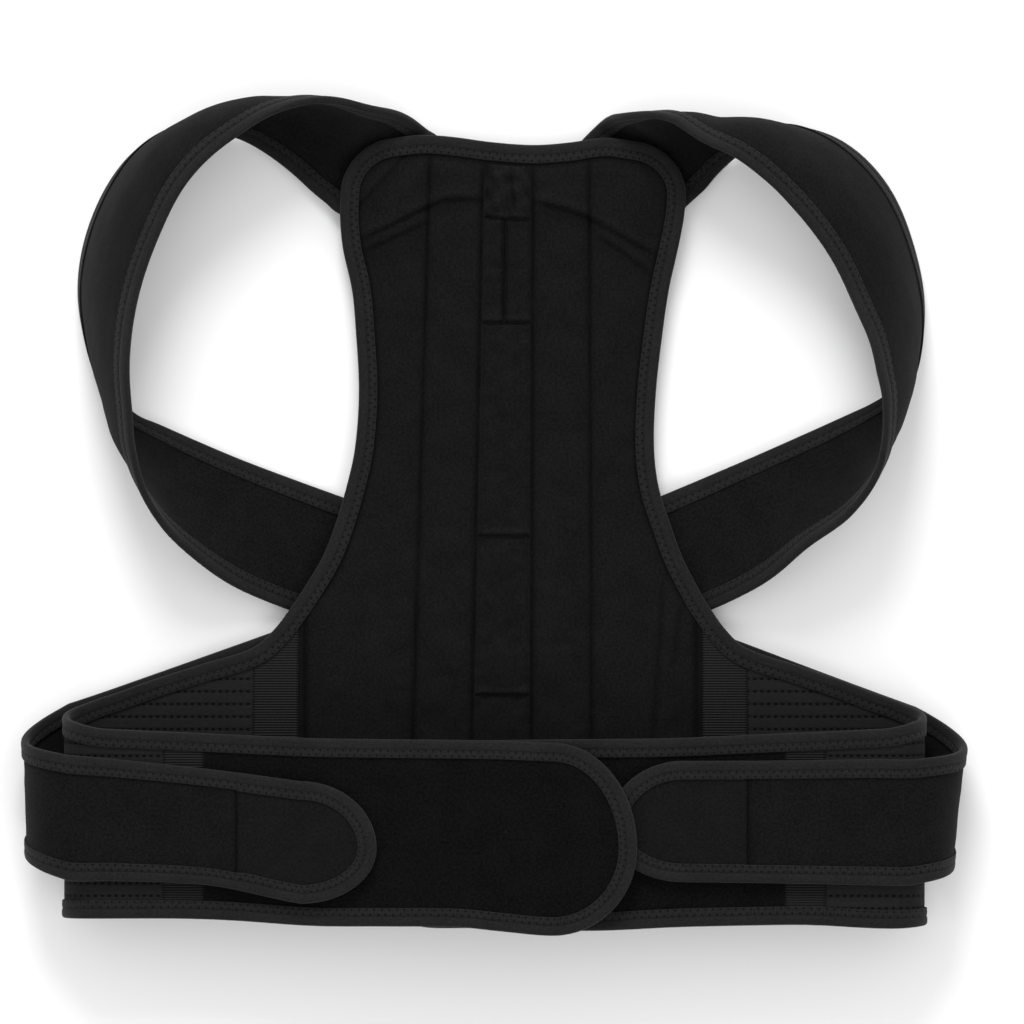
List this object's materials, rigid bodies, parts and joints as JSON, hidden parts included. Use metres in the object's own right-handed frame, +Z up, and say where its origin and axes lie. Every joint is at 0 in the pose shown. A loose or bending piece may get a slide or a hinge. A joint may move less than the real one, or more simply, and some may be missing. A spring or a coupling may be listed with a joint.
{
  "type": "posture corrector",
  "caption": "Padded back brace with a wrap-round waist belt and shoulder straps that cross behind the panel, lying on its back with the belt folded round both sides.",
  "frame": {"origin": "bottom centre of the whole, on the surface that it lies on", "axes": "+X to the viewer's right across the belt, +Y to the head end, +Z up from the surface"},
  "size_m": [0.531, 0.471, 0.0694],
  "materials": {
    "panel_fabric": "brushed knit",
    "webbing": "ribbed tape",
    "elastic": "perforated elastic",
    "velvet_loop": "loop pile",
    "binding_tape": "knitted tape with zigzag stitches",
    "strap_fabric": "laminated loop cloth",
    "tab_fabric": "laminated hook tab"
  },
  "bodies": {
    "root": {"back_panel": "panel_fabric", "stay_pocket": "panel_fabric", "stay_pocket_lower": "panel_fabric", "stay_flap_left": "panel_fabric", "stay_flap_right": "panel_fabric", "stay_tongue": "panel_fabric", "back_webbing_left": "webbing", "back_webbing_right": "webbing", "front_webbing_left": "webbing", "front_webbing_right": "webbing", "side_elastic_left": "elastic", "side_elastic_right": "elastic", "front_pad_left": "velvet_loop", "front_pad_right": "velvet_loop", "panel_binding": "binding_tape", "hem_binding": "binding_tape", "belt_binding_left": "binding_tape", "belt_binding_right": "binding_tape", "strap_binding_left": "binding_tape", "strap_binding_right": "binding_tape", "shoulder_strap_left": "strap_fabric", "shoulder_strap_right": "strap_fabric", "strap_tab_left": "tab_fabric", "strap_tab_right": "tab_fabric"}
  },
  "joints": []
}
